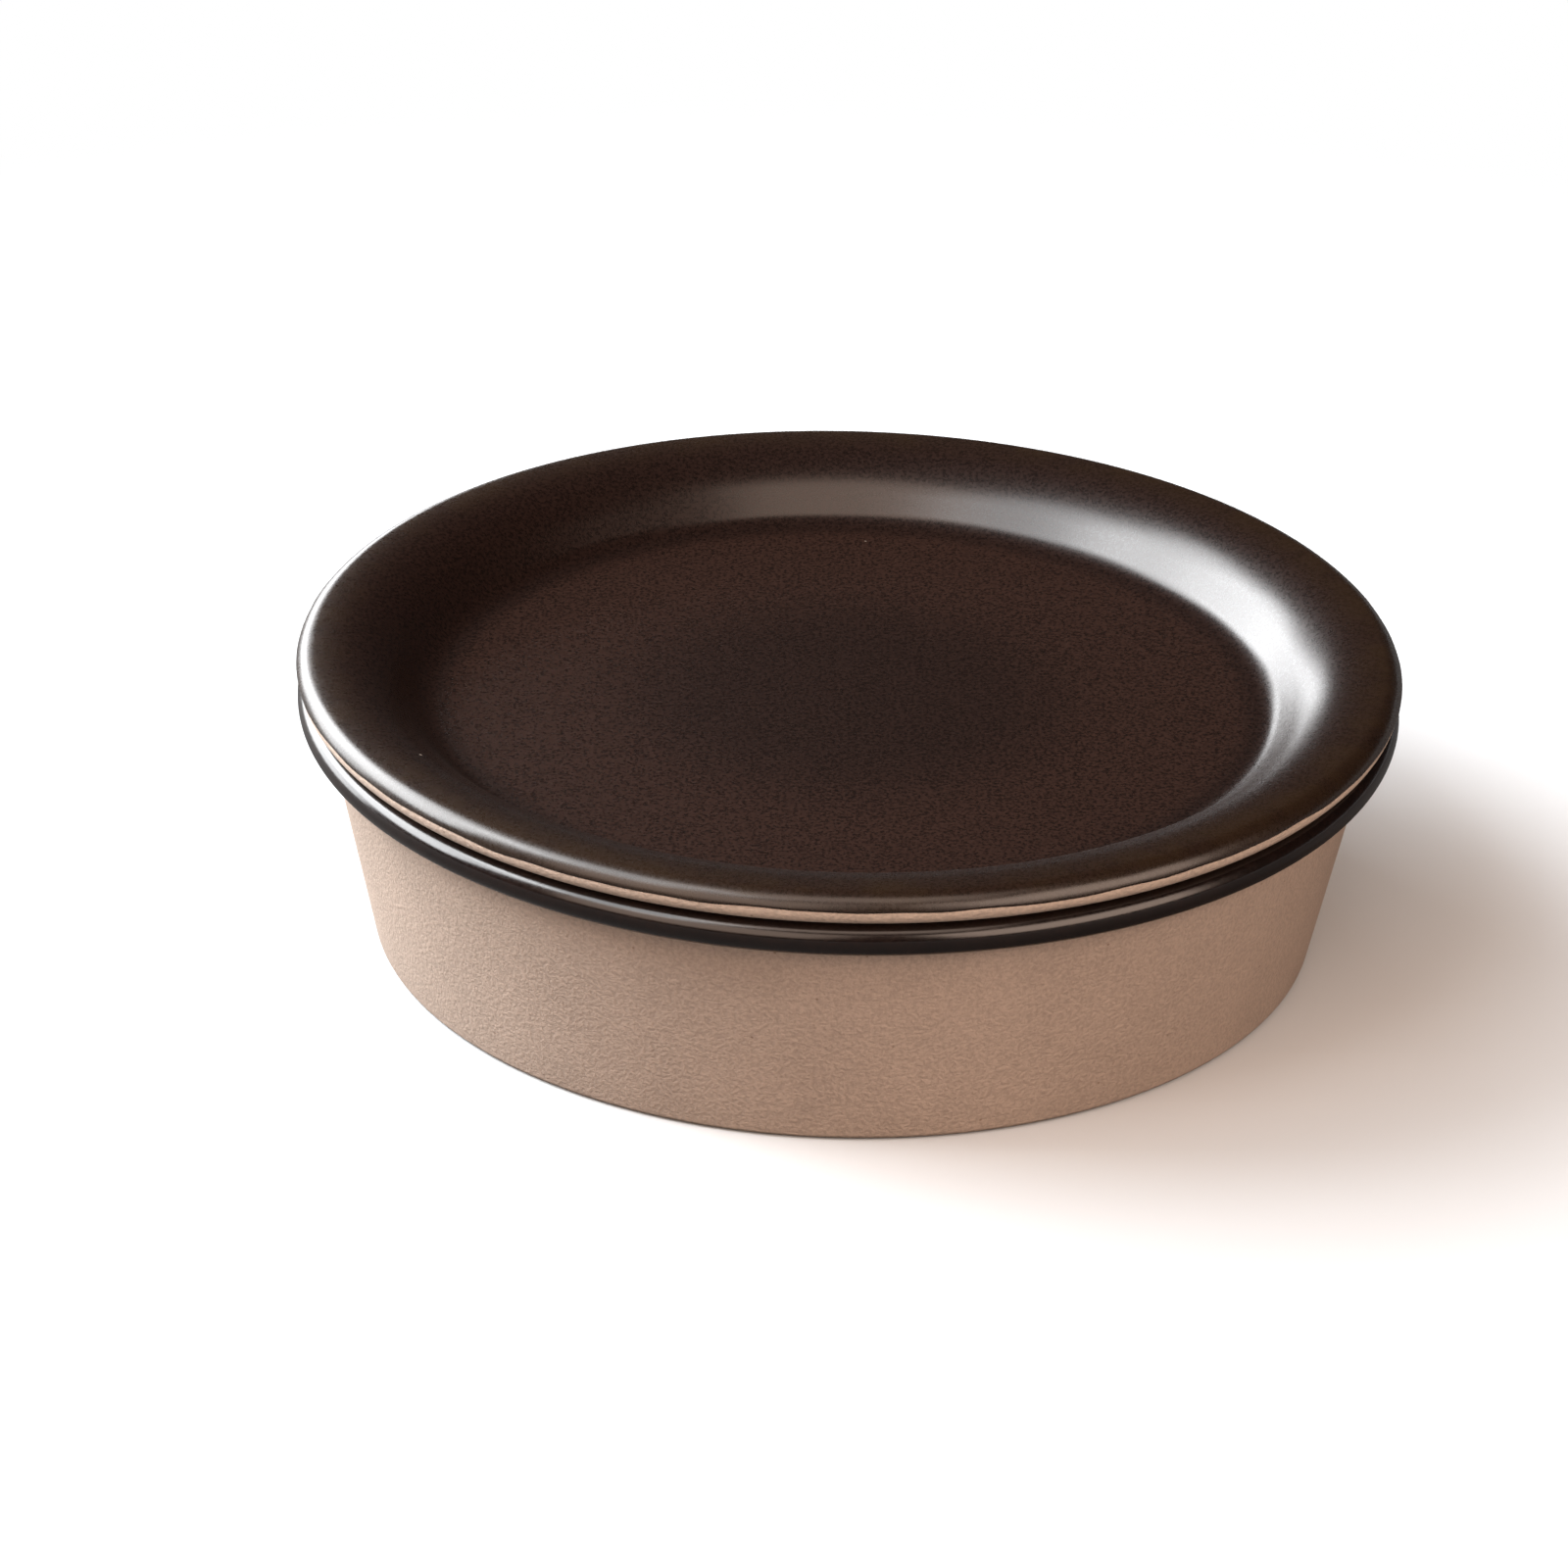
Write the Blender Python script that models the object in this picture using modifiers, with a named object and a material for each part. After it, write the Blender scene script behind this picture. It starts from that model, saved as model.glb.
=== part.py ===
"""Round stoneware roasting dish with a plate-shaped lid, glazed dark brown over bare clay.

Two loose pieces of fired clay, each with its own coat of glaze. The dish stands on z = 0 with
its axis on Z, and the lid rests on its rim.
"""

import math

import bmesh
import bpy
from mathutils import Matrix, Vector

# Fits and coats
SEAT_GAP = 0.0003  # left between two pieces that touch
MOUTH_CLEARANCE = 0.0027  # between the belly of the lid and the mouth of the dish
GLAZE_THICKNESS = 0.0006
GLAZE_PROUD = 0.0004  # how far the edge of a coat stands above the bare clay beside it

# Dish
DISH_HEIGHT = 0.0598  # from the table to the top of the rim
RIM_RADIUS = 0.1247
RIM_THICKNESS = 0.0072
RIM_OVERHANG = 0.0061  # from the top of the outer wall to the edge of the rim
RIM_FILLET = 0.0012  # under the rim, where it meets the wall
RIM_GLAZE_RETURN = 0.0004  # how far the glaze runs in under the rim, past its round edge
WALL_DRAFT = math.radians(11.5)
WALL_THICKNESS = 0.0065
FLOOR_THICKNESS = 0.007
FLOOR_FILLET = 0.012
MOUTH_BEVEL = 0.0012  # width of the bevel from the inner wall to the top of the rim
MOUTH_ROUND = 0.0015
BASE_ROUND = 0.0016
FOOT_WIDTH = 0.012
FOOT_HEIGHT = 0.001

# Lid
LID_OVERHANG = 0.0003  # beyond the rim of the dish
LID_EDGE_THICKNESS = 0.0074
LID_EDGE_ROUND = 0.0047  # of the glazed upper part of the edge
LID_EDGE_LEAN = math.radians(18)  # of the edge of the lid where its glaze ends
LID_THICKNESS = 0.007
PLATE_DEPTH = 0.0137  # from the crest of the rim to the floor of the plate
COVE_SLOPE = math.radians(48)
CREST_ROUND = 0.024
COVE_FILLET = 0.0072
BELLY_ROUND = 0.0142
SEAT_FILLET = 0.001
LID_GLAZE_LINE = 0.0039  # height of the edge of the glaze above the seat of the lid

# Facets of the turned shapes
TURN_STEPS = 48
ARC_STEP = math.radians(23)

# Finishes
CLAY_COLOUR = (0.40, 0.27, 0.195, 1.0)
CLAY_ROUGHNESS = 0.9
GLAZE_COLOUR = (0.032, 0.019, 0.014, 1.0)
GLAZE_ROUGHNESS = 0.32


def lines_at(corners, index):
    """Return the directions from a corner to its two neighbours, and the turn between them."""
    corner = Vector(corners[index][:2])
    before = (Vector(corners[index - 1][:2]) - corner).normalized()
    after = (Vector(corners[index + 1][:2]) - corner).normalized()
    return before, after, math.pi - before.angle(after)


def wanted_reach(corners, index):
    """Return how far the round of a corner would run along the lines beside it."""
    if corners[index][2] == 0:
        return 0
    turn = lines_at(corners, index)[2]
    return corners[index][2] * math.tan(turn / 2)


def room_beside(corners, index, neighbour):
    """Return how far the round may run towards a neighbour, whose own round has its share."""
    length = (Vector(corners[neighbour][:2]) - Vector(corners[index][:2])).length
    own = wanted_reach(corners, index)
    return length * own / max(own + wanted_reach(corners, neighbour), length)


def arc_at(corners, index):
    """Return the points of the arc that rounds one corner, limited by the lines beside it."""
    corner = Vector(corners[index][:2])
    before, after, turn = lines_at(corners, index)
    reach = min(room_beside(corners, index, index - 1), room_beside(corners, index, index + 1))
    arc_radius = reach / math.tan(turn / 2)
    centre = corner + (before + after).normalized() * (arc_radius / math.cos(turn / 2))
    first_arm = corner + before * reach - centre
    direction = math.copysign(turn, before.y * after.x - before.x * after.y)
    steps = math.ceil(turn / ARC_STEP)
    return [centre + Matrix.Rotation(direction * step / steps, 2) @ first_arm
            for step in range(steps + 1)]


def shortest_facet():
    """Return the length below which a facet would turn over when its profile is inset."""
    return 2 * (GLAZE_THICKNESS + SEAT_GAP) * math.tan(ARC_STEP / 4)


def rounded(corners):
    """Return a profile's points from its corners, each a radius, a height and a round."""
    points = []
    for index, corner in enumerate(corners):
        stretch = arc_at(corners, index) if corner[2] > 0 else [Vector(corner[:2])]
        for point in stretch:
            if not points or (point - points[-1]).length > shortest_facet():
                points.append(point)
    return points


def inset(points, depth):
    """Return a profile moved into the clay, which lies on the right of its direction."""
    directions = [(end - start).normalized() for start, end in zip(points, points[1:])]
    normals = [Vector((direction.y, -direction.x)) for direction in directions]
    moved = []
    for index, point in enumerate(points):
        first = normals[max(index - 1, 0)]
        second = normals[min(index, len(normals) - 1)]
        moved.append(point + (first + second) * (depth / (1 + first.dot(second))))
    return moved


def coat_profile(skin):
    """Return the profile of a coat of glaze whose outer face is the skin."""
    return skin + inset(skin, GLAZE_THICKNESS)[::-1]


def dish_wall_radius(height):
    """Return the outer radius of the wall of the dish at a height above the table."""
    rim_underside = DISH_HEIGHT - RIM_THICKNESS
    return RIM_RADIUS - RIM_OVERHANG - (rim_underside - height) * math.tan(WALL_DRAFT)


def lid_radius():
    """Return the outer radius of the lid, which lines up with the rim of the dish."""
    return RIM_RADIUS + LID_OVERHANG


def dish_inner_radius(height):
    """Return the radius of the glazed inner wall of the dish at a height above the table."""
    return dish_wall_radius(height) - WALL_THICKNESS / math.cos(WALL_DRAFT)


def mouth_radius():
    """Return the radius of the mouth of the dish, where its bevel reaches the top of the rim."""
    return dish_inner_radius(DISH_HEIGHT) + MOUTH_BEVEL


def cove_radius(height, depth):
    """Return the radius of the cove at a height above the lid's seat and a depth under its face.

    The cove runs parallel to the bevel of the mouth, and its underside clears it.
    """
    above_mouth = (height + SEAT_GAP) / math.tan(COVE_SLOPE)
    inside_mouth = (LID_THICKNESS + MOUTH_CLEARANCE - depth) / math.sin(COVE_SLOPE)
    return mouth_radius() + above_mouth - inside_mouth


def dish_skin():
    """Return the glazed face of the dish, from the middle of its floor to under its rim."""
    bevel_slope = 1 / math.tan(COVE_SLOPE) - math.tan(WALL_DRAFT)
    bevel_foot = DISH_HEIGHT - MOUTH_BEVEL / bevel_slope
    rim_underside = DISH_HEIGHT - RIM_THICKNESS
    rim_round = RIM_THICKNESS / 2
    return rounded([
        (0, FLOOR_THICKNESS, 0),
        (dish_inner_radius(FLOOR_THICKNESS), FLOOR_THICKNESS, FLOOR_FILLET),
        (dish_inner_radius(bevel_foot), bevel_foot, MOUTH_ROUND),
        (mouth_radius(), DISH_HEIGHT, MOUTH_ROUND),
        (RIM_RADIUS, DISH_HEIGHT, rim_round),
        (RIM_RADIUS, rim_underside, rim_round),
        (RIM_RADIUS - rim_round - RIM_GLAZE_RETURN, rim_underside, 0),
    ])


def dish_clay():
    """Return the profile of the dish's clay, under its coat and down its bare outer wall."""
    skin = dish_skin()
    rim_underside = DISH_HEIGHT - RIM_THICKNESS
    coat_depth = GLAZE_THICKNESS + SEAT_GAP
    shoulder = skin[-1].x - SEAT_GAP
    bare_underside = rim_underside + GLAZE_PROUD
    base_radius = dish_wall_radius(0)
    foot_inside = base_radius - FOOT_WIDTH
    bare = rounded([
        (shoulder, rim_underside + coat_depth, 0),
        (shoulder, bare_underside, 0),
        (dish_wall_radius(bare_underside), bare_underside, RIM_FILLET),
        (base_radius, 0, BASE_ROUND),
        (foot_inside, 0, 0),
        (foot_inside - FOOT_HEIGHT, FOOT_HEIGHT, 0),
        (0, FOOT_HEIGHT, 0),
    ])
    return inset(skin, coat_depth) + bare


def lid_skin():
    """Return the glazed face of the lid, from the middle of its plate to the line on its edge."""
    plate_floor = LID_EDGE_THICKNESS - PLATE_DEPTH
    edge_run_in = (LID_EDGE_THICKNESS - LID_GLAZE_LINE) * math.tan(LID_EDGE_LEAN)
    return rounded([
        (0, plate_floor, 0),
        (cove_radius(plate_floor, 0), plate_floor, COVE_FILLET),
        (cove_radius(LID_EDGE_THICKNESS, 0), LID_EDGE_THICKNESS, CREST_ROUND),
        (lid_radius() - edge_run_in, LID_EDGE_THICKNESS, LID_EDGE_ROUND),
        (lid_radius(), LID_GLAZE_LINE, 0),
    ])


def lid_clay():
    """Return the profile of the lid's clay, under its coat and round its bare underside."""
    skin = lid_skin()
    coat_depth = GLAZE_THICKNESS + SEAT_GAP
    down_the_edge = (skin[-1] - skin[-2]).normalized()
    into_the_clay = Vector((down_the_edge.y, -down_the_edge.x))
    past_the_coat = skin[-1] + down_the_edge * SEAT_GAP
    shoulder_inside = past_the_coat + into_the_clay * coat_depth
    shoulder = past_the_coat + into_the_clay * GLAZE_PROUD
    belly_floor = LID_EDGE_THICKNESS - PLATE_DEPTH - LID_THICKNESS
    bare = rounded([
        (shoulder_inside.x, shoulder_inside.y, 0),
        (shoulder.x, shoulder.y, 0),
        (shoulder.x, 0, LID_EDGE_THICKNESS / 2),
        (cove_radius(0, LID_THICKNESS), 0, SEAT_FILLET),
        (cove_radius(belly_floor, LID_THICKNESS), belly_floor, BELLY_ROUND),
        (0, belly_floor, 0),
    ])
    return inset(skin, coat_depth) + bare


def finish(name, colour, roughness):
    """Return a new material with one Principled shader."""
    material = bpy.data.materials.new(name)
    material.use_nodes = True
    shader = material.node_tree.nodes["Principled BSDF"]
    shader.inputs["Base Color"].default_value = colour
    shader.inputs["Roughness"].default_value = roughness
    shader.inputs["Metallic"].default_value = 0.0
    material.diffuse_color = colour
    return material


def turned(name, profile, material, parent, collection):
    """Make a piece by turning a profile, from its top at the axis to its bottom, about Z."""
    outline = bmesh.new()
    corners = [outline.verts.new((point.x, 0, point.y)) for point in profile]
    for start, end in zip(corners, corners[1:]):
        outline.edges.new((start, end))
    mesh = bpy.data.meshes.new(name)
    outline.to_mesh(mesh)
    outline.free()
    mesh.materials.append(material)
    piece = bpy.data.objects.new(name, mesh)
    collection.objects.link(piece)
    piece.parent = parent
    screw = piece.modifiers.new("turning", "SCREW")
    screw.axis = "Z"
    screw.angle = math.tau
    screw.steps = TURN_STEPS
    screw.render_steps = TURN_STEPS
    screw.use_merge_vertices = True
    screw.merge_threshold = SEAT_GAP / 100
    screw.use_smooth_shade = True
    return piece


def empty(name, height, collection):
    """Make an empty on the axis, which carries the pieces that move together."""
    carrier = bpy.data.objects.new(name, None)
    carrier.location.z = height
    collection.objects.link(carrier)
    return carrier


def build():
    """Clear the scene and make the dish and its lid."""
    for leftover in list(bpy.data.objects):
        bpy.data.objects.remove(leftover, do_unlink=True)
    collection = bpy.data.collections.new("roasting_dish")
    bpy.context.scene.collection.children.link(collection)
    clay = finish("bare_clay", CLAY_COLOUR, CLAY_ROUGHNESS)
    glaze = finish("brown_glaze", GLAZE_COLOUR, GLAZE_ROUGHNESS)
    dish = empty("dish", 0, collection)
    lid = empty("lid", DISH_HEIGHT + SEAT_GAP, collection)
    turned("dish_body", dish_clay(), clay, dish, collection)
    turned("dish_glaze", coat_profile(dish_skin()), glaze, dish, collection)
    turned("lid_body", lid_clay(), clay, lid, collection)
    turned("lid_glaze", coat_profile(lid_skin()), glaze, lid, collection)


build()
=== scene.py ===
"""Looks of a round stoneware roasting dish with a plate-shaped lid.

The clay of the dish and of the lid is turned from profiles, each has its coat of dark brown
glaze, and a plain stage lights them. Lengths are in metres.
"""

import math
from collections import namedtuple

import bmesh
import bpy
from bpy.props import FloatProperty, FloatVectorProperty, IntProperty, PointerProperty
from mathutils import Matrix, Vector


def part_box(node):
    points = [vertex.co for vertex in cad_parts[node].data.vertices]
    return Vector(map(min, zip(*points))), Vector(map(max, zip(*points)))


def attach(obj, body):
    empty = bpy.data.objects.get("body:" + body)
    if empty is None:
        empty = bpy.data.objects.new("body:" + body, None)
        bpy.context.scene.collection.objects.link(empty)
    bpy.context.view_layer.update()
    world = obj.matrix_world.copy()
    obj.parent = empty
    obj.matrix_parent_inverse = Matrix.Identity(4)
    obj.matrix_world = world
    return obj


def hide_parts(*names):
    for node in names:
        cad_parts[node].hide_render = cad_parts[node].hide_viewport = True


bl_info = {
    "name": "Roasting dish",
    "version": (1, 0, 0),
    "blender": (4, 5, 0),
    "location": "3D View > Sidebar > Roasting dish",
    "description": "Turns and glazes a round stoneware roasting dish with a plate-shaped lid",
    "category": "Object",
}

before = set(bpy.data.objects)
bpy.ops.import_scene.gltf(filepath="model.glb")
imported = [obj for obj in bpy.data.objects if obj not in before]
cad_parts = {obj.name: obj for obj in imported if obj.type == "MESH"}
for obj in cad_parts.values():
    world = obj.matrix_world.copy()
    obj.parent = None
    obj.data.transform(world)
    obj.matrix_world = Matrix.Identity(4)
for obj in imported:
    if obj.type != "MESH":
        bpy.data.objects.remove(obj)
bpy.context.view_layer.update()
DISH_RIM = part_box("dish_glaze")[1]
LID_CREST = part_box("lid_glaze")[1]
LID_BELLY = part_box("lid_body")[0]

MERGE_DISTANCE = 1e-6
SHARP_ANGLE = math.radians(40)
FLOOR_DROP = 0.0002  # keeps the floor clear of the foot of the dish
FLOOR_FACETS = 96
SENSOR_WIDTH = 36
WHITE = (1.0, 1.0, 1.0, 1.0)

# Patterns: how finely a noise is broken up, the part of it that is used, and the edge of a speck.
SOFT_DETAIL = 2.0
FINE_DETAIL = 3.0
NOISE_ROUGHNESS = 0.6
NOISE_RANGE = (0.25, 0.75)
SPECK_EDGE = (0.6, 1.0)

# Waves round a piece: how many go round, and their phase.
SIDE_WAVE = (3, 2.1)
RISE_WAVE = (2, 0.7)

# The edge of the glaze wanders as a sum of waves: how many go round, share of the size, phase.
GLAZE_WAVES = ((7, 0.35, 0.4), (19, 0.3, 2.2), (31, 0.3, 4.1), (47, 0.25, 1.3))

# Soft rectangular lamps. A bearing runs in degrees from straight behind the dish to the left.
Lamp = namedtuple("Lamp", "name bearing elevation width height brightness is_window")
LAMPS = (
    Lamp("window_low", 43, 10, 2.3, 0.6, 8.5, True),
    Lamp("window_middle", 66, 28, 2.3, 0.7, 14.0, True),
    Lamp("window_high", 76, 45, 1.8, 0.6, 11.0, True),
    Lamp("side_top", 112, 56, 1.6, 0.8, 5.5, True),
    Lamp("front_left", 150, 32, 1.9, 1.2, 2.8, False),
    Lamp("front_right", -132, 29, 1.8, 1.15, 4.7, False),
    Lamp("overhead", 180, 68, 1.5, 0.9, 2.6, False),
)


def length(name, description, default):
    """Return a property for a length."""
    return FloatProperty(name=name, description=description, default=default, min=0,
                         precision=5, subtype="DISTANCE", unit="LENGTH")


def angle(name, description, degrees):
    """Return a property for an angle, whose default is given in degrees."""
    return FloatProperty(name=name, description=description, default=math.radians(degrees),
                         subtype="ANGLE", unit="ROTATION")


def colour(name, description, default):
    """Return a property for a colour."""
    return FloatVectorProperty(name=name, description=description, default=default, size=3,
                               min=0, max=1, subtype="COLOR")


def share(name, description, default):
    """Return a property for a share from 0 to 1."""
    return FloatProperty(name=name, description=description, default=default, min=0, max=1,
                         subtype="FACTOR")


def number(name, description, default):
    """Return a property for a plain number."""
    return FloatProperty(name=name, description=description, default=default, min=0)


class DishSizes(bpy.types.PropertyGroup):
    """Sizes of the dish."""

    height: length("Height", "From the table to the top of the rim", DISH_RIM.z)
    rim_radius: length("Rim radius", "Radius of the rim", DISH_RIM.x)
    rim_thickness: length("Rim thickness", "Height of the half-round rim", 0.0072)
    rim_overhang: length("Rim overhang", "From the wall to the edge of the rim", 0.0061)
    rim_fillet: length("Rim fillet", "Round under the rim, where it meets the wall", 0.0012)
    glaze_return: length("Glaze return", "Run of the glaze under the rim", 0.0004)
    wall_draft: angle("Wall draft", "Lean of the wall", 11.5)
    wall_thickness: length("Wall thickness", "Thickness of the wall", 0.0065)
    floor_thickness: length("Floor thickness", "Height of the glazed floor", 0.007)
    floor_fillet: length("Floor fillet", "Round between the floor and the wall", 0.012)
    mouth_bevel: length("Mouth bevel", "Width of the bevel at the mouth", 0.0012)
    mouth_round: length("Mouth round", "Round at both edges of that bevel", 0.0015)
    base_round: length("Base round", "Round at the foot of the wall", 0.0016)
    foot_width: length("Foot width", "Width of the ring that the dish stands on", 0.012)
    foot_height: length("Foot height", "Depth of the base inside that ring", 0.001)


class LidSizes(bpy.types.PropertyGroup):
    """Sizes of the lid."""

    radius: length("Radius", "Radius of the lid", LID_CREST.x)
    top: length("Top", "Height of the crest above the table", LID_CREST.z)
    edge_thickness: length("Edge thickness", "From the seat to the crest", 0.0074)
    edge_round: length("Edge round", "Round of the glazed upper part of the edge", 0.0047)
    edge_lean: angle("Edge lean", "Lean of the edge where its glaze ends", 18)
    thickness: length("Thickness", "Thickness of the plate", 0.007)
    belly: length("Belly", "Height of the underside above the table", LID_BELLY.z)
    cove_slope: angle("Cove slope", "Slope of the cove round the plate", 48)
    crest_round: length("Crest round", "Round of the crest", 0.024)
    cove_fillet: length("Cove fillet", "Round between the plate and its cove", 0.0072)
    belly_round: length("Belly round", "Round of the underside", 0.0142)
    seat_fillet: length("Seat fillet", "Round between the seat and the belly", 0.001)
    mouth_clearance: length("Mouth clearance", "From the belly to the dish's mouth", 0.0027)
    glaze_line: length("Glaze line", "Height of the glaze's edge above the seat", 0.0039)


class MakingSizes(bpy.types.PropertyGroup):
    """Sizes of the coats, and what the hand leaves on a turned and dipped piece."""

    coat: length("Coat", "Thickness of the glaze", 0.0006)
    coat_gap: length("Coat gap", "Between the glaze and the clay under it", 0.00005)
    proud: length("Proud", "How far the glaze stands above the bare clay", 0.0004)
    bead: length("Bead", "Round of the glaze's edge", 0.0005)
    wander: length("Wander", "How far the glaze's edge wanders", 0.00032)
    wander_reach: length("Wander reach", "How far that shows beside the edge", 0.0026)
    wobble: length("Wobble", "How far a turned piece is out of round", 0.00012)
    turn_steps: IntProperty(name="Turn steps", description="Facets round a piece", default=240)
    arc_step: angle("Arc step", "Turn of one facet of a round", 6)
    longest_run: length("Longest run", "Longest facet of a straight run", 0.008)


class ClayFinish(bpy.types.PropertyGroup):
    """Finish of the bare stoneware."""

    colour: colour("Colour", "Colour of the fired clay of the dish", (0.467, 0.37, 0.306))
    # The lid's clay is the dish's clay made paler, partly a painted highlight on the lid's bare band.
    lid_colour_with_painted_highlight: colour("Lid colour", "Colour of the fired clay of the lid", (0.58, 0.468, 0.388))
    darkest: number("Darkest", "Tone of the darkest grain beside that colour", 0.78)
    palest: number("Palest", "Tone of the palest grain beside that colour", 1.12)
    roughness: share("Roughness", "Roughness of the bare clay", 0.5)
    grain: length("Grain", "Size of the sandy grain", 0.0009)
    relief: length("Relief", "Height of that grain", 0.0001)
    cloud: length("Cloud", "Size of the soft clouds", 0.0198)
    cloud_share: share("Cloud share", "Share of the clouds in the tone", 0.25)
    speck: colour("Speck", "Colour of the dark specks", (0.2, 0.125, 0.085))
    speck_spacing: length("Speck spacing", "Distance between the specks", 0.005)
    speck_radius: length("Speck radius", "Radius of a speck", 0.0004)
    speck_share: share("Speck share", "Share of the places that hold a speck", 0.4)
    speck_strength: share("Speck strength", "How strongly a speck shows", 0.6)


class GlazeFinish(bpy.types.PropertyGroup):
    """Finish of the dark brown glaze."""

    colour: colour("Colour", "Colour where the glaze lies thick", (0.0036, 0.0014, 0.0009))
    mottle: colour("Mottle", "Colour of the paler mottling", (0.0210, 0.0092, 0.0060))
    thin: colour("Thin", "Colour where it runs thin over the lid's rim", (0.0165, 0.0084, 0.0034))
    # The glaze's mottling is cut back in the middle of the plate and in its cove, which paints a dark
    # reflection there; these set where and how far.
    middle: length("Middle", "Radius where the dark middle starts to turn paler", 0.02)
    plate: length("Plate", "Radius where the plate is palest", 0.0773)
    cove: length("Cove", "Radius where the cove starts to turn dark", 0.086)
    cove_end: length("Cove end", "Radius where the cove is dark", 0.0948)
    dark_share: number("Dark share", "Share of the mottling in the middle and the cove", 0.62)
    pale_share: number("Pale share", "Share of the mottling on the plate", 1.3)
    rim_start: length("Rim start", "Radius where the colour of a rim starts", 0.1097)
    rim_end: length("Rim end", "Radius where the colour of a rim is full", 0.1222)
    rim_least: share("Rim least", "Least share of the colour of a rim", 0.3)
    rim_most: share("Rim most", "Greatest share of the colour of a rim", 0.8)
    roughness: share("Roughness", "Roughness of the satin glaze of the lid", 0.28)
    lining_roughness: share("Lining roughness", "Roughness of the glaze of the dish", 0.2)
    smoother: share("Smoother", "How far the roughness goes down", 0.02)
    rougher: share("Rougher", "How far the roughness goes up", 0.03)
    refraction: number("Refraction", "Index of refraction", 1.55)
    grain: length("Grain", "Size of the fine mottling", 0.0008)
    patch: length("Patch", "Size of the broad patches", 0.0104)
    relief: length("Relief", "Height of the unevenness of the face", 0.00001)
    fine_relief: share("Fine relief", "Height of the fine mottling beside that", 0.15)
    pinhole_depth: number("Pinhole depth", "Depth of a pinhole beside that", 2)
    pinhole: colour("Pinhole", "Colour of the pale pinholes", (0.3, 0.25, 0.21))
    pinhole_spacing: length("Pinhole spacing", "Distance between the pinholes", 0.016)
    pinhole_radius: length("Pinhole radius", "Radius of a pinhole", 0.0005)
    pinhole_share: share("Pinhole share", "Share of the places that hold a pinhole", 0.3)


class StageSettings(bpy.types.PropertyGroup):
    """The camera, the lamps and the floor."""

    lens: number("Lens", "Focal length in millimetres", 126.58)
    camera_place: FloatVectorProperty(name="Camera place", description="Where the camera is",
                                      default=(0, -1.13014, 0.59792), subtype="TRANSLATION")
    camera_aim: FloatVectorProperty(name="Camera aim", description="What the camera looks at",
                                    default=(-0.01403, -0.00017, 0.03088), subtype="TRANSLATION")
    camera_roll: angle("Camera roll", "Turn of the camera about its line of sight", 1.214)
    floor_colour: colour("Floor colour", "Colour of the floor, as it is seen", (0.6, 0.64, 0.67))
    floor_bounce: colour("Floor bounce", "Colour of the floor for the light that it throws back",
                         (0.07, 0.07, 0.07))
    floor_roughness: share("Floor roughness", "Roughness of the floor", 0.9)
    floor_radius: length("Floor radius", "Radius of the floor", 12)
    shadow_start: length("Shadow start", "Where the shadow starts to fade", 0.2)
    shadow_end: length("Shadow end", "Where the floor is plain white", 0.55)
    mirror_start: length("Mirror start", "Where the floor starts to turn white in reflections", 1.5)
    mirror_end: length("Mirror end", "Where it is plain white in reflections", 5)
    backdrop_rise: angle("Backdrop rise", "How high the white backdrop stands in reflections", 1.5)
    room_light: share("Room light", "Light of the room beside the lamps", 0.02)
    lamp_distance: length("Lamp distance", "From the dish to each lamp", 2)
    lamp_level: number("Lamp level", "Brightness of all lamps together", 1)
    window_colour: colour("Window colour", "Colour of the window light", (0.97, 0.985, 1.0))
    fill_colour: colour("Fill colour", "Colour of the other lamps", (1.0, 0.75, 0.61))


class RoastingDishSettings(bpy.types.PropertyGroup):
    """Everything that a user can change."""

    dish: PointerProperty(type=DishSizes)
    lid: PointerProperty(type=LidSizes)
    making: PointerProperty(type=MakingSizes)
    clay: PointerProperty(type=ClayFinish)
    glaze: PointerProperty(type=GlazeFinish)
    stage: PointerProperty(type=StageSettings)


# Profiles. A corner is its radius, its height and its round, and the clay lies on the right.


def lines_at(corners, index):
    """Return the directions from a corner to its two neighbours, and the turn between them."""
    corner = corners[index].to_2d()
    before = (corners[index - 1].to_2d() - corner).normalized()
    after = (corners[index + 1].to_2d() - corner).normalized()
    return before, after, math.pi - before.angle(after)


def wanted_reach(corners, index):
    """Return how far the round of a corner would run along the lines beside it."""
    if corners[index].z == 0:
        return 0
    return corners[index].z * math.tan(lines_at(corners, index)[2] / 2)


def room_beside(corners, index, neighbour):
    """Return how far the round may run towards a neighbour, whose own round has its share."""
    run = (corners[neighbour] - corners[index]).to_2d().length
    own = wanted_reach(corners, index)
    return run * own / max(own + wanted_reach(corners, neighbour), run)


def round_at(corners, index):
    """Return where the round of a corner starts, its centre and its turn to the left."""
    corner = corners[index].to_2d()
    before, after, turn = lines_at(corners, index)
    reach = min(room_beside(corners, index, index - 1), room_beside(corners, index, index + 1))
    centre = corner + (before + after).normalized() * (reach / math.sin(turn / 2))
    left_turn = math.copysign(turn, before.y * after.x - before.x * after.y)
    return corner + before * reach, centre, left_turn


def inset(corners, depth):
    """Return a profile's corners moved into the clay."""
    flat = [corner.to_2d() for corner in corners]
    along = [(end - start).normalized() for start, end in zip(flat, flat[1:])]
    inward = [Vector((run.y, -run.x)) for run in along]
    moved = []
    for index, corner in enumerate(corners):
        first = inward[max(index - 1, 0)]
        second = inward[min(index, len(inward) - 1)]
        place = flat[index] + (first + second) * (depth / (1 + first.dot(second)))
        bend = first.cross(second)
        round_size = max(corner.z + math.copysign(depth, bend), 0) if corner.z > 0 else 0
        moved.append(Vector((place.x, place.y, round_size)))
    return moved


def dish_wall_radius(dish, height):
    """Return the outer radius of the wall of the dish at a height above the table."""
    below_rim = dish.height - dish.rim_thickness - height
    return dish.rim_radius - dish.rim_overhang - below_rim * math.tan(dish.wall_draft)


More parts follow.
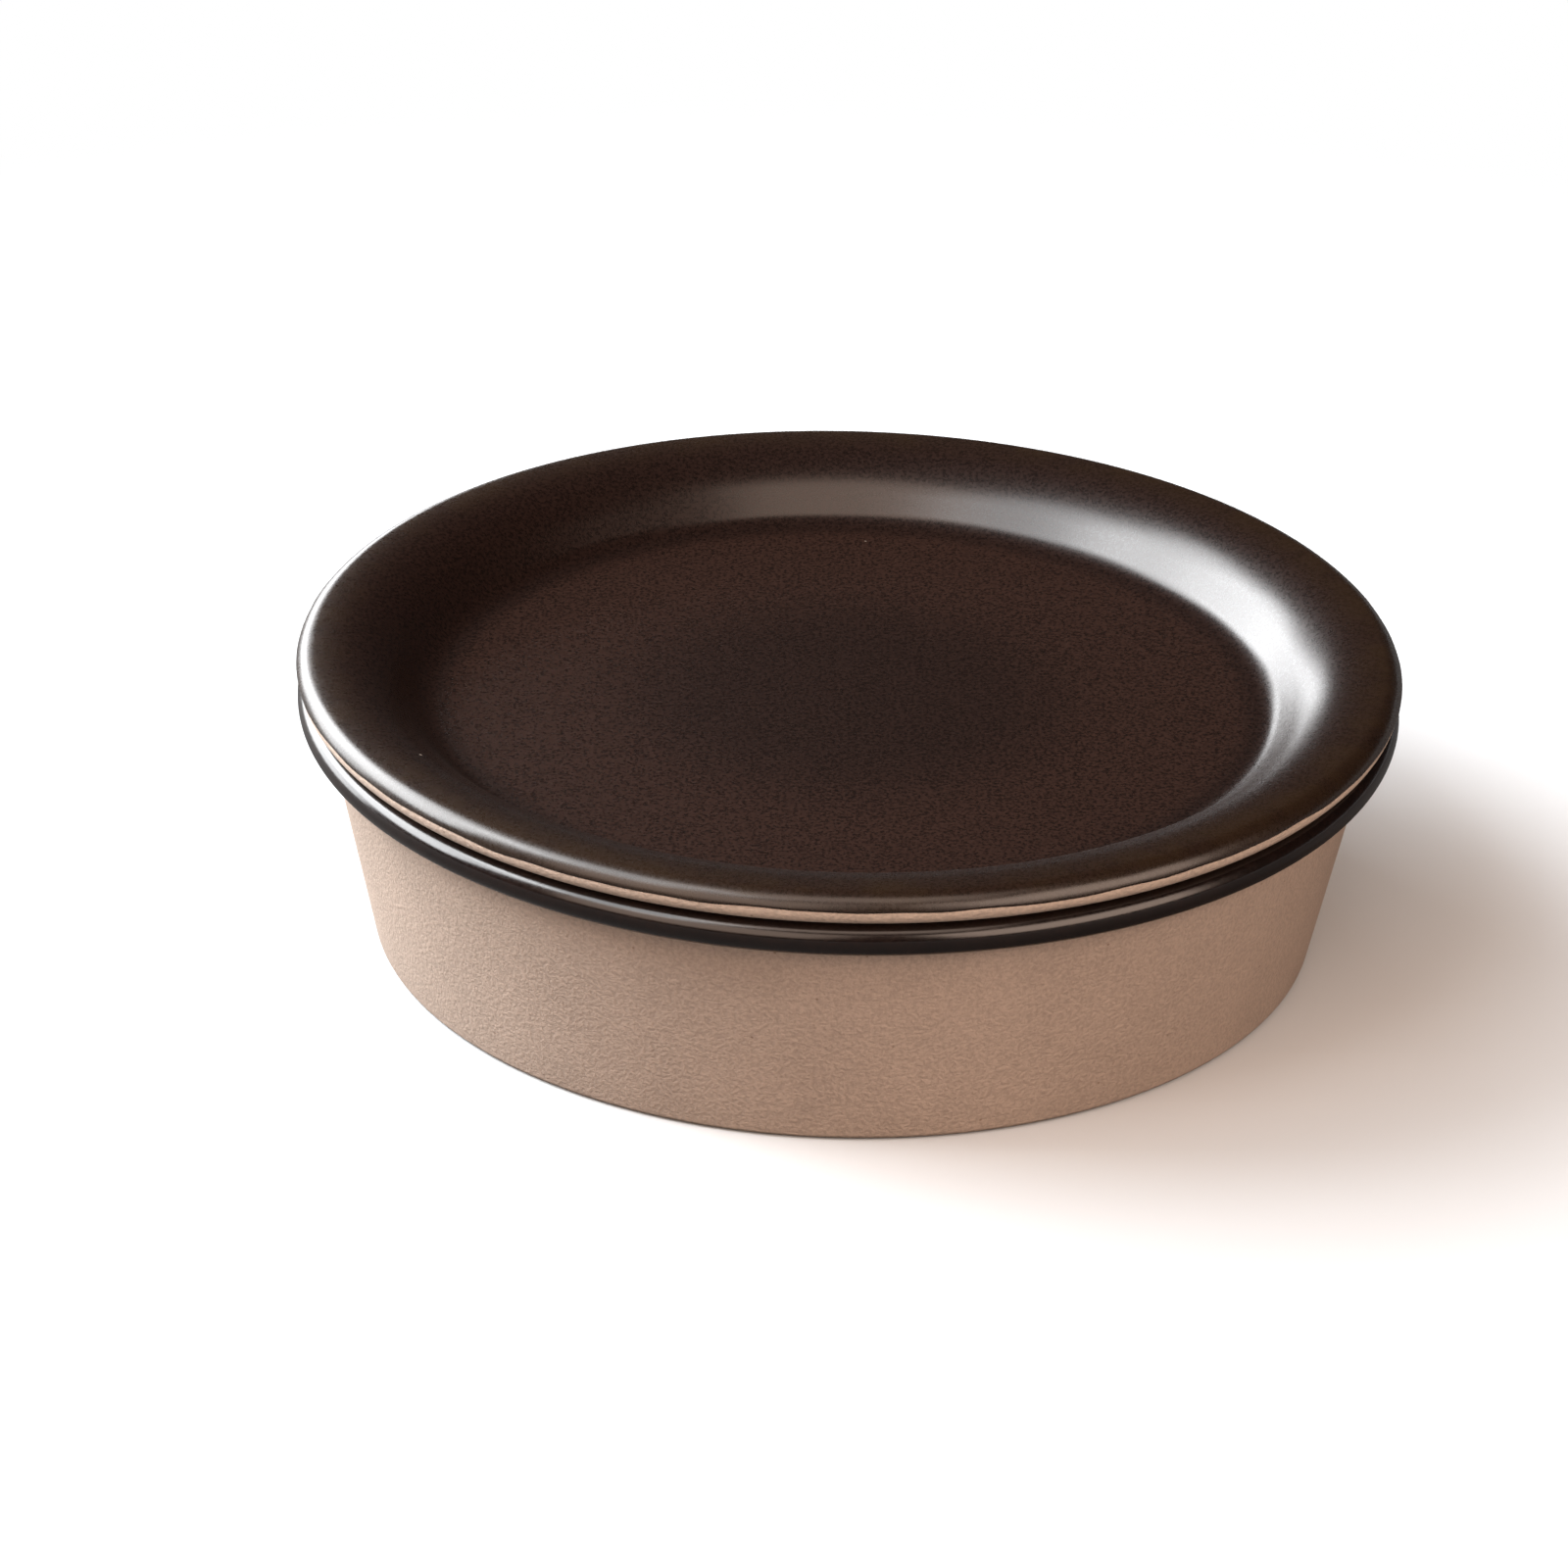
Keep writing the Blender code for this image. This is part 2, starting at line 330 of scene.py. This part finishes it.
def dish_inner_radius(dish, height):
    """Return the radius of the glazed inner wall of the dish at a height above the table."""
    return dish_wall_radius(dish, height) - dish.wall_thickness / math.cos(dish.wall_draft)


def mouth_radius(dish):
    """Return the radius of the mouth of the dish, at the top of its rim."""
    return dish_inner_radius(dish, dish.height) + dish.mouth_bevel


def dish_face(dish, lid):
    """Return the corners of the glazed face of the dish, from its middle to under its rim."""
    inside = dish.floor_thickness
    bevel_slope = 1 / math.tan(lid.cove_slope) - math.tan(dish.wall_draft)
    bevel_foot = dish.height - dish.mouth_bevel / bevel_slope
    rim_underside = dish.height - dish.rim_thickness
    rim_round = dish.rim_thickness / 2
    return [
        Vector((0, inside, 0)),
        Vector((dish_inner_radius(dish, inside), inside, dish.floor_fillet)),
        Vector((dish_inner_radius(dish, bevel_foot), bevel_foot, dish.mouth_round)),
        Vector((mouth_radius(dish), dish.height, dish.mouth_round)),
        Vector((dish.rim_radius, dish.height, rim_round)),
        Vector((dish.rim_radius, rim_underside, rim_round)),
        Vector((dish.rim_radius - rim_round - dish.glaze_return, rim_underside, 0)),
    ]


def dish_underside(dish, making):
    """Return the corners of the bare clay of the dish, from under its rim to its middle."""
    rim_underside = dish.height - dish.rim_thickness
    shoulder = dish.rim_radius - dish.rim_thickness / 2 - dish.glaze_return - making.coat_gap
    bare_underside = rim_underside + making.proud
    base_radius = dish_wall_radius(dish, 0)
    foot_inside = base_radius - dish.foot_width
    return [
        Vector((shoulder, rim_underside + making.coat + making.coat_gap, 0)),
        Vector((shoulder, bare_underside, 0)),
        Vector((dish_wall_radius(dish, bare_underside), bare_underside, dish.rim_fillet)),
        Vector((base_radius, 0, dish.base_round)),
        Vector((foot_inside, 0, dish.foot_height / 2)),
        Vector((foot_inside - dish.foot_height, dish.foot_height, dish.foot_height)),
        Vector((0, dish.foot_height, 0)),
    ]


def cove_radius(dish, lid, height, depth):
    """Return the radius of the lid's cove at a height and a depth under its face."""
    above_mouth = (height - dish.height) / math.tan(lid.cove_slope)
    inside_mouth = (lid.thickness + lid.mouth_clearance - depth) / math.sin(lid.cove_slope)
    return mouth_radius(dish) + above_mouth - inside_mouth


def lid_face(dish, lid):
    """Return the corners of the glazed face of the lid, from its middle to the glaze's edge."""
    plate = lid.belly + lid.thickness
    glazed_height = lid.edge_thickness - lid.glaze_line
    run_in = glazed_height * math.tan(lid.edge_lean)
    return [
        Vector((0, plate, 0)),
        Vector((cove_radius(dish, lid, plate, 0), plate, lid.cove_fillet)),
        Vector((cove_radius(dish, lid, lid.top, 0), lid.top, lid.crest_round)),
        Vector((lid.radius - run_in, lid.top, lid.edge_round)),
        Vector((lid.radius, lid.top - glazed_height, 0)),
    ]


def lid_underside(dish, lid, making):
    """Return the corners of the bare clay of the lid, from the glaze's edge to its middle."""
    seat = lid.top - lid.edge_thickness
    down_the_edge = Vector((math.sin(lid.edge_lean), -math.cos(lid.edge_lean), 0))
    into_the_clay = Vector((-math.cos(lid.edge_lean), -math.sin(lid.edge_lean), 0))
    glaze_edge = Vector((lid.radius, seat + lid.glaze_line, 0))
    past_the_coat = glaze_edge + down_the_edge * making.coat_gap
    shoulder = past_the_coat + into_the_clay * making.proud
    return [
        past_the_coat + into_the_clay * (making.coat + making.coat_gap),
        shoulder,
        Vector((shoulder.x, seat, lid.edge_thickness / 2)),
        Vector((cove_radius(dish, lid, seat, lid.thickness), seat, lid.seat_fillet)),
        Vector((cove_radius(dish, lid, lid.belly, lid.thickness), lid.belly, lid.belly_round)),
        Vector((0, lid.belly, 0)),
    ]


def coat_corners(face, making):
    """Return the corners of a coat of glaze: its face, its rounded edge and its back."""
    face_end = Vector((face[-1].x, face[-1].y, making.bead))
    return face[:-1] + [face_end] + inset(face, making.coat)[::-1]


def clay_corners(face, underside, making):
    """Return the corners of a piece of clay: under its coat, then its bare underside."""
    return inset(face, making.coat + making.coat_gap) + underside


# Turning.


def draw_line(shape, pen, end, longest_run):
    """Draw a straight run from the pen to a point, in facets, and return its end."""
    start = pen.co.copy()
    stop = Vector((end.x, 0, end.y))
    facets = max(math.ceil((stop - start).length / longest_run), 1)
    for facet in range(1, facets + 1):
        pen = bmesh.ops.extrude_vert_indiv(shape, verts=[pen])["verts"][0]
        pen.co = start.lerp(stop, facet / facets)
    return pen


def draw_arc(shape, pen, centre, turn, arc_step):
    """Draw an arc from the pen about its centre, and return its end."""
    drawn = bmesh.ops.spin(shape, geom=[pen], cent=(centre.x, 0, centre.y), axis=(0, 1, 0),
                           angle=-turn, steps=math.ceil(abs(turn) / arc_step))
    return drawn["geom_last"][0]


def turned(corners, making):
    """Return a closed shape turned about Z from the corners of its profile."""
    shape = bmesh.new()
    pen = shape.verts.new((corners[0].x, 0, corners[0].y))
    for index in range(1, len(corners)):
        if corners[index].z > 0:
            start, centre, turn = round_at(corners, index)
            pen = draw_line(shape, pen, start, making.longest_run)
            pen = draw_arc(shape, pen, centre, turn, making.arc_step)
        else:
            pen = draw_line(shape, pen, corners[index], making.longest_run)
    bmesh.ops.remove_doubles(shape, verts=shape.verts, dist=MERGE_DISTANCE)
    bmesh.ops.spin(shape, geom=shape.verts[:] + shape.edges[:], cent=(0, 0, 0), axis=(0, 0, 1),
                   angle=math.tau, steps=making.turn_steps, use_merge=True)
    bmesh.ops.remove_doubles(shape, verts=shape.verts, dist=MERGE_DISTANCE)
    bmesh.ops.recalc_face_normals(shape, faces=shape.faces)
    return shape


def wave_at(vert, count, phase):
    """Return the height of a wave that goes round the axis, at the bearing of a vertex."""
    return math.sin(count * math.atan2(vert.co.y, vert.co.x) + phase)


def wobble(shape, dish, making):
    """Put a turned shape slightly out of round, alike for the dish and its lid."""
    for vert in shape.verts:
        side = making.wobble * wave_at(vert, *SIDE_WAVE)
        rise = making.wobble * wave_at(vert, *RISE_WAVE)
        reach = vert.co.to_2d().length / dish.rim_radius
        up = vert.co.z / dish.height
        swell = 1 + side / dish.rim_radius * up
        vert.co.x *= swell
        vert.co.y *= swell
        vert.co.z += rise * reach ** 2 * up


def wander(shape, line, least_radius, making):
    """Let the edge of the glaze wander up and down round a piece."""
    for vert in shape.verts:
        nearness = 1 - abs(vert.co.z - line) / making.wander_reach
        if nearness > 0 and vert.co.to_2d().length > least_radius:
            wave = sum(part * wave_at(vert, count, phase) for count, part, phase in GLAZE_WAVES)
            vert.co.z += making.wander * wave * nearness


def add_piece(name, shape, material, body, node):
    """Make a finished shape a piece that stands for a node of the frame."""
    mesh = bpy.data.meshes.new(name)
    shape.to_mesh(mesh)
    shape.free()
    mesh.shade_smooth()
    mesh.set_sharp_from_angle(angle=SHARP_ANGLE)
    mesh.materials.append(material)
    piece = bpy.data.objects.new(name, mesh)
    bpy.context.scene.collection.objects.link(piece)
    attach(piece, body)
    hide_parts(node)


# Finishes.


def add_node(tree, kind, inputs=None, **settings):
    """Add a node, set its options, and give its sockets a value or a link."""
    node = tree.nodes.new(kind)
    for option, value in settings.items():
        setattr(node, option, value)
    for socket, value in (inputs or {}).items():
        if isinstance(value, bpy.types.NodeSocket):
            tree.links.new(value, node.inputs[socket])
        else:
            node.inputs[socket].default_value = value
    return node


def math_node(tree, operation, first, second):
    """Return the outcome of an operation on two values."""
    return add_node(tree, "ShaderNodeMath", {0: first, 1: second}, operation=operation).outputs[0]


def ramp(tree, value, from_low, from_high, to_low=0.0, to_high=1.0):
    """Return a value carried smoothly from one range to another."""
    inputs = {"Value": value, "From Min": from_low, "From Max": from_high, "To Min": to_low,
              "To Max": to_high}
    return add_node(tree, "ShaderNodeMapRange", inputs, interpolation_type="SMOOTHSTEP").outputs[0]


def mixed(tree, factor, first, second):
    """Return a mix of two colours."""
    node = add_node(tree, "ShaderNodeMix", {"Factor": factor}, data_type="RGBA")
    for socket, value in zip([s for s in node.inputs if s.type == "RGBA"], (first, second)):
        if isinstance(value, bpy.types.NodeSocket):
            tree.links.new(value, socket)
        else:
            socket.default_value = value
    return next(socket for socket in node.outputs if socket.type == "RGBA")


def opaque(tint):
    """Return a colour with full alpha."""
    return (*tint, 1.0)


def new_group(name, inputs, output):
    """Return a new shader group with number inputs beside its place, and one output."""
    group = bpy.data.node_groups.new(name, "ShaderNodeTree")
    group.interface.new_socket("Place", in_out="INPUT", socket_type="NodeSocketVector")
    for title in inputs:
        group.interface.new_socket(title, in_out="INPUT", socket_type="NodeSocketFloat")
    group.interface.new_socket(output, in_out="OUTPUT", socket_type="NodeSocketFloat")
    return group


def mottle_group():
    """Return the shared group for soft mottling of a given size."""
    if "mottle" in bpy.data.node_groups:
        return bpy.data.node_groups["mottle"]
    group = new_group("mottle", ("Size", "Detail"), "Shade")
    given = add_node(group, "NodeGroupInput").outputs
    scale = math_node(group, "DIVIDE", 1.0, given["Size"])
    noise = add_node(group, "ShaderNodeTexNoise", {
        "Vector": given["Place"], "Scale": scale, "Detail": given["Detail"],
        "Roughness": NOISE_ROUGHNESS})
    shade = ramp(group, noise.outputs["Fac"], *NOISE_RANGE)
    add_node(group, "NodeGroupOutput", {"Shade": shade})
    return group


def speck_group():
    """Return the shared group for scattered specks of a given radius."""
    if "specks" in bpy.data.node_groups:
        return bpy.data.node_groups["specks"]
    group = new_group("specks", ("Spacing", "Radius", "Share"), "Mask")
    given = add_node(group, "NodeGroupInput").outputs
    scale = math_node(group, "DIVIDE", 1.0, given["Spacing"])
    cells = add_node(group, "ShaderNodeTexVoronoi", {"Vector": given["Place"], "Scale": scale})
    distance = math_node(group, "MULTIPLY", cells.outputs["Distance"], given["Spacing"])
    inside = math_node(group, "DIVIDE", distance, given["Radius"])
    dot = ramp(group, inside, *SPECK_EDGE, 1.0, 0.0)
    draw = add_node(group, "ShaderNodeSeparateColor", {"Color": cells.outputs["Color"]})
    kept = math_node(group, "LESS_THAN", draw.outputs["Red"], given["Share"])
    add_node(group, "NodeGroupOutput", {"Mask": math_node(group, "MULTIPLY", dot, kept)})
    return group


def mottle(tree, place, size, detail):
    """Return soft mottling from 0 to 1."""
    node = add_node(tree, "ShaderNodeGroup", node_tree=mottle_group())
    tree.links.new(place, node.inputs["Place"])
    node.inputs["Size"].default_value = size
    node.inputs["Detail"].default_value = detail
    return node.outputs["Shade"]


def specks(tree, place, spacing, radius, part):
    """Return a mask of scattered specks, of which a share of the cells holds one."""
    node = add_node(tree, "ShaderNodeGroup", node_tree=speck_group())
    tree.links.new(place, node.inputs["Place"])
    node.inputs["Spacing"].default_value = spacing
    node.inputs["Radius"].default_value = radius
    node.inputs["Share"].default_value = part
    return node.outputs["Mask"]


def new_finish(name):
    """Return a new material, its tree, its shader and the place on the piece."""
    material = bpy.data.materials.new(name)
    material.use_nodes = True
    tree = material.node_tree
    place = add_node(tree, "ShaderNodeTexCoord").outputs["Object"]
    return material, tree, tree.nodes["Principled BSDF"], place


def distance_from_axis(tree, place):
    """Return how far a place on a turned piece lies from its axis."""
    level = add_node(tree, "ShaderNodeVectorMath", {0: place, 1: (1.0, 1.0, 0.0)}, operation="MULTIPLY")
    reach = add_node(tree, "ShaderNodeVectorMath", {0: level.outputs[0]}, operation="LENGTH")
    return reach.outputs["Value"]


def add_relief(tree, shader, height, relief):
    """Give a finish the unevenness of a height pattern."""
    bump = add_node(tree, "ShaderNodeBump", {"Height": height, "Distance": relief, "Strength": 1.0})
    tree.links.new(bump.outputs["Normal"], shader.inputs["Normal"])


def bare_stoneware(name, clay, tint):
    """Return the matte finish of fired clay of a colour, with its sandy grain and dark specks."""
    if name in bpy.data.materials:
        return bpy.data.materials[name]
    material, tree, shader, place = new_finish(name)
    grain = mottle(tree, place, clay.grain, SOFT_DETAIL)
    cloud = mottle(tree, place, clay.cloud, FINE_DETAIL)
    tone = math_node(tree, "ADD", math_node(tree, "MULTIPLY", grain, 1 - clay.cloud_share),
                     math_node(tree, "MULTIPLY", cloud, clay.cloud_share))
    spots = specks(tree, place, clay.speck_spacing, clay.speck_radius, clay.speck_share)
    dark = math_node(tree, "MULTIPLY", spots, clay.speck_strength)
    body = mixed(tree, tone, opaque(Vector(tint) * clay.darkest), opaque(Vector(tint) * clay.palest))
    tree.links.new(mixed(tree, dark, body, opaque(clay.speck)), shader.inputs["Base Color"])
    add_relief(tree, shader, math_node(tree, "SUBTRACT", grain, dark), clay.relief)
    shader.inputs["Roughness"].default_value = clay.roughness
    return material


def painted_reflection_ring(tree, radius, glaze):
    """Return the share of the mottling: low in the middle, high on the plate, low in the cove, which
    paints a dark reflection in the middle and the cove.
    """
    outside_middle = ramp(tree, radius, glaze.middle, glaze.plate)
    inside_cove = ramp(tree, radius, glaze.cove, glaze.cove_end, 1.0, 0.0)
    ring = math_node(tree, "MULTIPLY", outside_middle, inside_cove)
    return ramp(tree, ring, 0, 1, glaze.dark_share, glaze.pale_share)


def brown_glaze(name, glaze, rim_tint, roughness):
    """Return the satin finish of the glaze: mottled, with a painted dark reflection in the middle and
    the cove, tinted over a rim, with pale pinholes.
    """
    if name in bpy.data.materials:
        return bpy.data.materials[name]
    material, tree, shader, place = new_finish(name)
    fine = mottle(tree, place, glaze.grain, FINE_DETAIL)
    broad = mottle(tree, place, glaze.patch, SOFT_DETAIL)
    radius = distance_from_axis(tree, place)
    # The mottling is the glaze's own colour; cutting its share in the middle and the cove paints a dark
    # reflection there.
    paleness = math_node(tree, "MULTIPLY", fine, painted_reflection_ring(tree, radius, glaze))
    body = mixed(tree, paleness, opaque(glaze.colour), opaque(glaze.mottle))
    rim = math_node(tree, "MULTIPLY", ramp(tree, radius, glaze.rim_start, glaze.rim_end),
                    ramp(tree, broad, 0, 1, glaze.rim_least, glaze.rim_most))
    broken = mixed(tree, rim, body, opaque(rim_tint))
    pinholes = specks(tree, place, glaze.pinhole_spacing, glaze.pinhole_radius, glaze.pinhole_share)
    tree.links.new(mixed(tree, pinholes, broken, opaque(glaze.pinhole)), shader.inputs["Base Color"])
    satin = ramp(tree, fine, 0, 1, roughness - glaze.smoother, roughness + glaze.rougher)
    tree.links.new(satin, shader.inputs["Roughness"])
    height = math_node(tree, "ADD", math_node(tree, "MULTIPLY", fine, glaze.fine_relief), broad)
    pits = math_node(tree, "MULTIPLY", pinholes, glaze.pinhole_depth)
    add_relief(tree, shader, math_node(tree, "SUBTRACT", height, pits), glaze.relief)
    shader.inputs["IOR"].default_value = glaze.refraction
    return material


# The stage.


def seen_rays(tree, *rays):
    """Return 1 for the named kinds of ray, and 0 for the others."""
    path = add_node(tree, "ShaderNodeLightPath").outputs
    seen = path[rays[0]]
    for ray in rays[1:]:
        seen = math_node(tree, "MAXIMUM", seen, path[ray])
    return seen


def floor_finish(stage):
    """Return the pale floor, which keeps the shadow near the dish and is white farther out."""
    material, tree, shader, place = new_finish("pale_floor")
    looked_at = seen_rays(tree, "Is Camera Ray", "Is Transmission Ray")
    tree.links.new(mixed(tree, looked_at, opaque(stage.floor_bounce), opaque(stage.floor_colour)),
                   shader.inputs["Base Color"])
    shader.inputs["Roughness"].default_value = stage.floor_roughness
    reach = add_node(tree, "ShaderNodeVectorMath", {0: place}, operation="LENGTH").outputs["Value"]
    near = ramp(tree, reach, stage.shadow_start, stage.shadow_end)
    far = ramp(tree, reach, stage.mirror_start, stage.mirror_end)
    seen = math_node(tree, "MAXIMUM",
                     math_node(tree, "MULTIPLY", near, looked_at),
                     math_node(tree, "MULTIPLY", far, seen_rays(tree, "Is Glossy Ray")))
    white = add_node(tree, "ShaderNodeEmission", {"Color": WHITE, "Strength": 1.0})
    blend = add_node(tree, "ShaderNodeMixShader",
                     {0: seen, 1: shader.outputs[0], 2: white.outputs[0]})
    tree.links.new(blend.outputs[0], tree.nodes["Material Output"].inputs["Surface"])
    return material


def add_floor(stage):
    """Lay the floor just under the dish."""
    disc = bmesh.new()
    bmesh.ops.create_circle(disc, cap_ends=True, segments=FLOOR_FACETS,
                            radius=stage.floor_radius)
    mesh = bpy.data.meshes.new("floor")
    disc.to_mesh(mesh)
    disc.free()
    mesh.materials.append(floor_finish(stage))
    floor = bpy.data.objects.new("floor", mesh)
    floor.location.z = -FLOOR_DROP
    bpy.context.scene.collection.objects.link(floor)


def add_lamp(lamp, stage):
    """Hang a soft rectangular lamp that faces the dish."""
    light = bpy.data.lights.new(lamp.name, "AREA")
    light.shape = "RECTANGLE"
    light.size = lamp.width
    light.size_y = lamp.height
    light.energy = lamp.brightness * stage.lamp_level * math.pi * lamp.width * lamp.height
    light.color = stage.window_colour if lamp.is_window else stage.fill_colour
    holder = bpy.data.objects.new(lamp.name, light)
    bearing = math.radians(lamp.bearing)
    elevation = math.radians(lamp.elevation)
    level = Vector((-math.sin(bearing), math.cos(bearing), 0))
    away = level * math.cos(elevation) + Vector((0, 0, math.sin(elevation)))
    holder.location = away * stage.lamp_distance
    holder.rotation_mode = "QUATERNION"
    holder.rotation_quaternion = away.to_track_quat("Z", "Y")
    holder.visible_camera = False
    bpy.context.scene.collection.objects.link(holder)


def add_room(stage):
    """Make a dim room, white past the floor for the camera, and low down for reflections too."""
    room = bpy.data.worlds.new("room")
    room.use_nodes = True
    tree = room.node_tree
    sight = add_node(tree, "ShaderNodeTexCoord").outputs["Generated"]
    rise = add_node(tree, "ShaderNodeSeparateXYZ", {0: sight}).outputs["Z"]
    low = ramp(tree, rise, 0.0, math.sin(stage.backdrop_rise), 1.0, 0.0)
    mirrored = seen_rays(tree, "Is Glossy Ray", "Is Transmission Ray")
    reflected = math_node(tree, "MULTIPLY", low, mirrored)
    seen = math_node(tree, "MAXIMUM", reflected, seen_rays(tree, "Is Camera Ray"))
    dim = (stage.room_light, stage.room_light, stage.room_light, 1.0)
    tree.links.new(mixed(tree, seen, dim, WHITE), tree.nodes["Background"].inputs["Color"])
    bpy.context.scene.world = room


def add_camera(stage):
    """Set the camera where the photograph was taken from."""
    lens = bpy.data.cameras.new("camera")
    lens.lens = stage.lens
    lens.sensor_width = SENSOR_WIDTH
    camera = bpy.data.objects.new("camera", lens)
    sight = Vector(stage.camera_aim) - Vector(stage.camera_place)
    roll = Matrix.Rotation(stage.camera_roll, 3, "Z").to_quaternion()
    camera.location = stage.camera_place
    camera.rotation_mode = "QUATERNION"
    camera.rotation_quaternion = sight.to_track_quat("-Z", "Y") @ roll
    bpy.context.scene.collection.objects.link(camera)
    bpy.context.scene.camera = camera


class DishClay(bpy.types.Operator):
    """Turn the bare clay of the dish."""

    bl_idname = "roasting_dish.dish_clay"
    bl_label = "Dish clay"

    def execute(self, context):
        made = context.scene.roasting_dish
        face = dish_face(made.dish, made.lid)
        underside = dish_underside(made.dish, made.making)
        shape = turned(clay_corners(face, underside, made.making), made.making)
        wobble(shape, made.dish, made.making)
        finish = bare_stoneware("dish_clay", made.clay, made.clay.colour)
        add_piece("dish_stoneware", shape, finish, "dish", "dish_body")
        return {"FINISHED"}


class DishGlaze(bpy.types.Operator):
    """Coat the inside and the rim of the dish."""

    bl_idname = "roasting_dish.dish_glaze"
    bl_label = "Dish glaze"

    def execute(self, context):
        made = context.scene.roasting_dish
        shape = turned(coat_corners(dish_face(made.dish, made.lid), made.making), made.making)
        wobble(shape, made.dish, made.making)
        glaze = made.glaze
        finish = brown_glaze("lining_glaze", glaze, glaze.colour, glaze.lining_roughness)
        add_piece("dish_lining", shape, finish, "dish", "dish_glaze")
        return {"FINISHED"}


class LidClay(bpy.types.Operator):
    """Turn the bare clay of the lid."""

    bl_idname = "roasting_dish.lid_clay"
    bl_label = "Lid clay"

    def execute(self, context):
        made = context.scene.roasting_dish
        face = lid_face(made.dish, made.lid)
        underside = lid_underside(made.dish, made.lid, made.making)
        shape = turned(clay_corners(face, underside, made.making), made.making)
        wander(shape, face[-1].y, face[-2].x - made.lid.edge_thickness / 2, made.making)
        wobble(shape, made.dish, made.making)
        # The paler colour of the lid's clay is partly a painted highlight on its bare band.
        finish = bare_stoneware("lid_clay", made.clay, made.clay.lid_colour_with_painted_highlight)
        add_piece("lid_stoneware", shape, finish, "lid", "lid_body")
        return {"FINISHED"}


class LidGlaze(bpy.types.Operator):
    """Coat the top of the lid down to the line on its edge."""

    bl_idname = "roasting_dish.lid_glaze"
    bl_label = "Lid glaze"

    def execute(self, context):
        made = context.scene.roasting_dish
        face = lid_face(made.dish, made.lid)
        shape = turned(coat_corners(face, made.making), made.making)
        wander(shape, face[-1].y, face[-2].x - made.lid.edge_thickness / 2, made.making)
        wobble(shape, made.dish, made.making)
        glaze = made.glaze
        finish = brown_glaze("top_glaze", glaze, glaze.thin, glaze.roughness)
        add_piece("lid_top_glaze", shape, finish, "lid", "lid_glaze")
        return {"FINISHED"}


class Stage(bpy.types.Operator):
    """Lay the floor, hang the lamps and set the camera."""

    bl_idname = "roasting_dish.stage"
    bl_label = "Stage"

    def execute(self, context):
        stage = context.scene.roasting_dish.stage
        add_floor(stage)
        add_room(stage)
        for lamp in LAMPS:
            add_lamp(lamp, stage)
        add_camera(stage)
        context.scene.view_settings.view_transform = "Standard"
        return {"FINISHED"}


STEPS = (DishClay, DishGlaze, LidClay, LidGlaze, Stage)


class RoastingDishPanel(bpy.types.Panel):
    """Lists the steps that make the dish."""

    bl_idname = "VIEW3D_PT_roasting_dish"
    bl_label = "Roasting dish"
    bl_space_type = "VIEW_3D"
    bl_region_type = "UI"
    bl_category = "Roasting dish"

    def draw(self, context):
        for step in STEPS:
            self.layout.operator(step.bl_idname)


CLASSES = (DishSizes, LidSizes, MakingSizes, ClayFinish, GlazeFinish, StageSettings,
           RoastingDishSettings, *STEPS, RoastingDishPanel)


def register():
    """Register the classes and hang the settings on the scene."""
    for cls in CLASSES:
        bpy.utils.register_class(cls)
    bpy.types.Scene.roasting_dish = PointerProperty(type=RoastingDishSettings)


def unregister():
    """Take the settings and the classes away again."""
    del bpy.types.Scene.roasting_dish
    for cls in reversed(CLASSES):
        bpy.utils.unregister_class(cls)


def main():
    """Make the dish, its lid and the stage."""
    register()
    bpy.ops.roasting_dish.dish_clay()
    bpy.ops.roasting_dish.dish_glaze()
    bpy.ops.roasting_dish.lid_clay()
    bpy.ops.roasting_dish.lid_glaze()
    bpy.ops.roasting_dish.stage()


if __name__ == "__main__":
    main()
